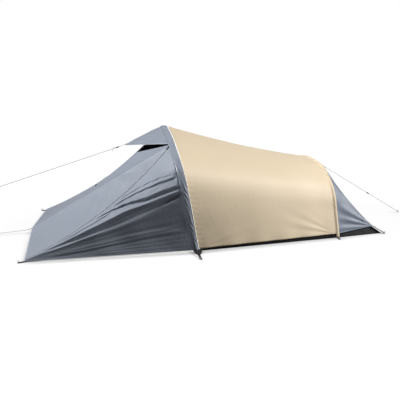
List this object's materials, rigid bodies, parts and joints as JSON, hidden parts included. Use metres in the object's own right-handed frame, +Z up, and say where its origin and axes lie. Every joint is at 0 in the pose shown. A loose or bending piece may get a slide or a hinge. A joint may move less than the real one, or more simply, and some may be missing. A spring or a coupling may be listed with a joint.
{
  "type": "tunnel tent",
  "caption": "Low tunnel tent on bent poles with a zipped vestibule, vent hood, tail, inner tent with a round door, guylines and pegs.",
  "frame": {"origin": "middle of the groundsheet's underside, on the ground", "axes": "+X towards the foot end, -Y towards the zipped side, +Z up"},
  "size_m": [4.532, 1.9776, 1.0626],
  "materials": {
    "sand_cloth": "coated ripstop cloth",
    "grey_cloth": "coated ripstop cloth",
    "black_cloth": "coated groundsheet cloth",
    "inner_cloth": "breathable cloth",
    "black_webbing": "woven webbing",
    "tube_metal": "dark anodised tube",
    "peg_metal": "bare wire",
    "black_plastic": "moulded",
    "grey_zip": "coated coil chain",
    "guy_cord": "braided cord, red brown",
    "pale_cord": "braided cord, pale grey"
  },
  "bodies": {
    "tent": {"bathtub_floor": "black_cloth", "corner_loop_far": "black_webbing", "corner_loop_near": "black_webbing", "door_toggle": "black_plastic", "fly_body": "sand_cloth", "front_foot_buckle_far": "black_plastic", "front_foot_buckle_near": "black_plastic", "front_foot_strap_far": "black_webbing", "front_foot_strap_near": "black_webbing", "front_pole_section_1": "tube_metal", "front_pole_section_2": "tube_metal", "front_pole_section_3": "tube_metal", "front_pole_section_4": "tube_metal", "front_pole_section_5": "tube_metal", "front_pole_section_6": "tube_metal", "front_pole_sleeve": "grey_cloth", "guyline_front": "guy_cord", "guyline_rear": "guy_cord", "hanger_front_far": "pale_cord", "hanger_front_near": "pale_cord", "hanger_rear_far": "pale_cord", "hanger_rear_near": "pale_cord", "hood_tip_loop": "black_webbing", "inner_canopy": "inner_cloth", "inner_door_zip": "black_plastic", "inner_front_wall": "inner_cloth", "nose_cord": "pale_cord", "nose_loop": "black_webbing", "peg_corner_far": "peg_metal", "peg_corner_near": "peg_metal", "peg_front_foot_far": "peg_metal", "peg_front_foot_near": "peg_metal", "peg_nose": "peg_metal", "peg_rear_guyline": "peg_metal", "peg_tail_far": "peg_metal", "peg_tail_near": "peg_metal", "rear_foot_tab_far": "black_webbing", "rear_foot_tab_near": "black_webbing", "rear_guy_loop": "black_webbing", "rear_pole_section_1": "tube_metal", "rear_pole_section_2": "tube_metal", "rear_pole_section_3": "tube_metal", "rear_pole_section_4": "tube_metal", "rear_pole_sleeve": "sand_cloth", "tail_panel": "grey_cloth", "tail_strap_far": "black_webbing", "tail_strap_near": "black_webbing", "vent_hood": "grey_cloth", "vestibule_front_far": "grey_cloth", "vestibule_front_near": "grey_cloth", "vestibule_side_far": "grey_cloth", "vestibule_side_near": "grey_cloth", "vestibule_zip": "grey_zip"},
    "vestibule_door": {"vestibule_door_flap": "grey_cloth"},
    "vestibule_slider": {"vestibule_zip_slider": "black_plastic", "vestibule_zip_pull_cord": "pale_cord"},
    "inner_door_panel": {"inner_door": "inner_cloth"},
    "inner_slider": {"inner_door_zip_slider": "black_plastic"},
    "front_runner": {"guyline_front_runner": "black_plastic"},
    "rear_runner": {"guyline_rear_runner": "black_plastic"}
  },
  "joints": [
    {"name": "vestibule_door_fold", "type": "hinge", "parent": "tent", "child": "vestibule_door", "pos_m": [-2.609, 0, 0.037], "axis": [-0.7979, 0.3013, -0.522], "range_deg": [0, 80]},
    {"name": "vestibule_zip_run", "type": "hinge", "parent": "tent", "child": "vestibule_slider", "pos_m": [-3.78029, -0.97295, 3.28724], "axis": [-0.17, 0.9854, 0], "range_deg": [0, 25.5]},
    {"name": "inner_door_drop", "type": "hinge", "parent": "tent", "child": "inner_door_panel", "pos_m": [-0.95853, 0, 0.14164], "axis": [0, -1, 0], "range_deg": [0, 85]},
    {"name": "inner_zip_run", "type": "hinge", "parent": "tent", "child": "inner_slider", "pos_m": [-0.98115, 0, 0.26659], "axis": [0.984, 0, 0.1781], "range_deg": [0, 205]},
    {"name": "front_runner_slide", "type": "slide", "parent": "tent", "child": "front_runner", "axis": [-0.956, 0, -0.2932], "range_m": [0, 0.6]},
    {"name": "rear_runner_slide", "type": "slide", "parent": "tent", "child": "rear_runner", "axis": [0.8578, 0, -0.514], "range_m": [-0.5, 0.35]}
  ]
}
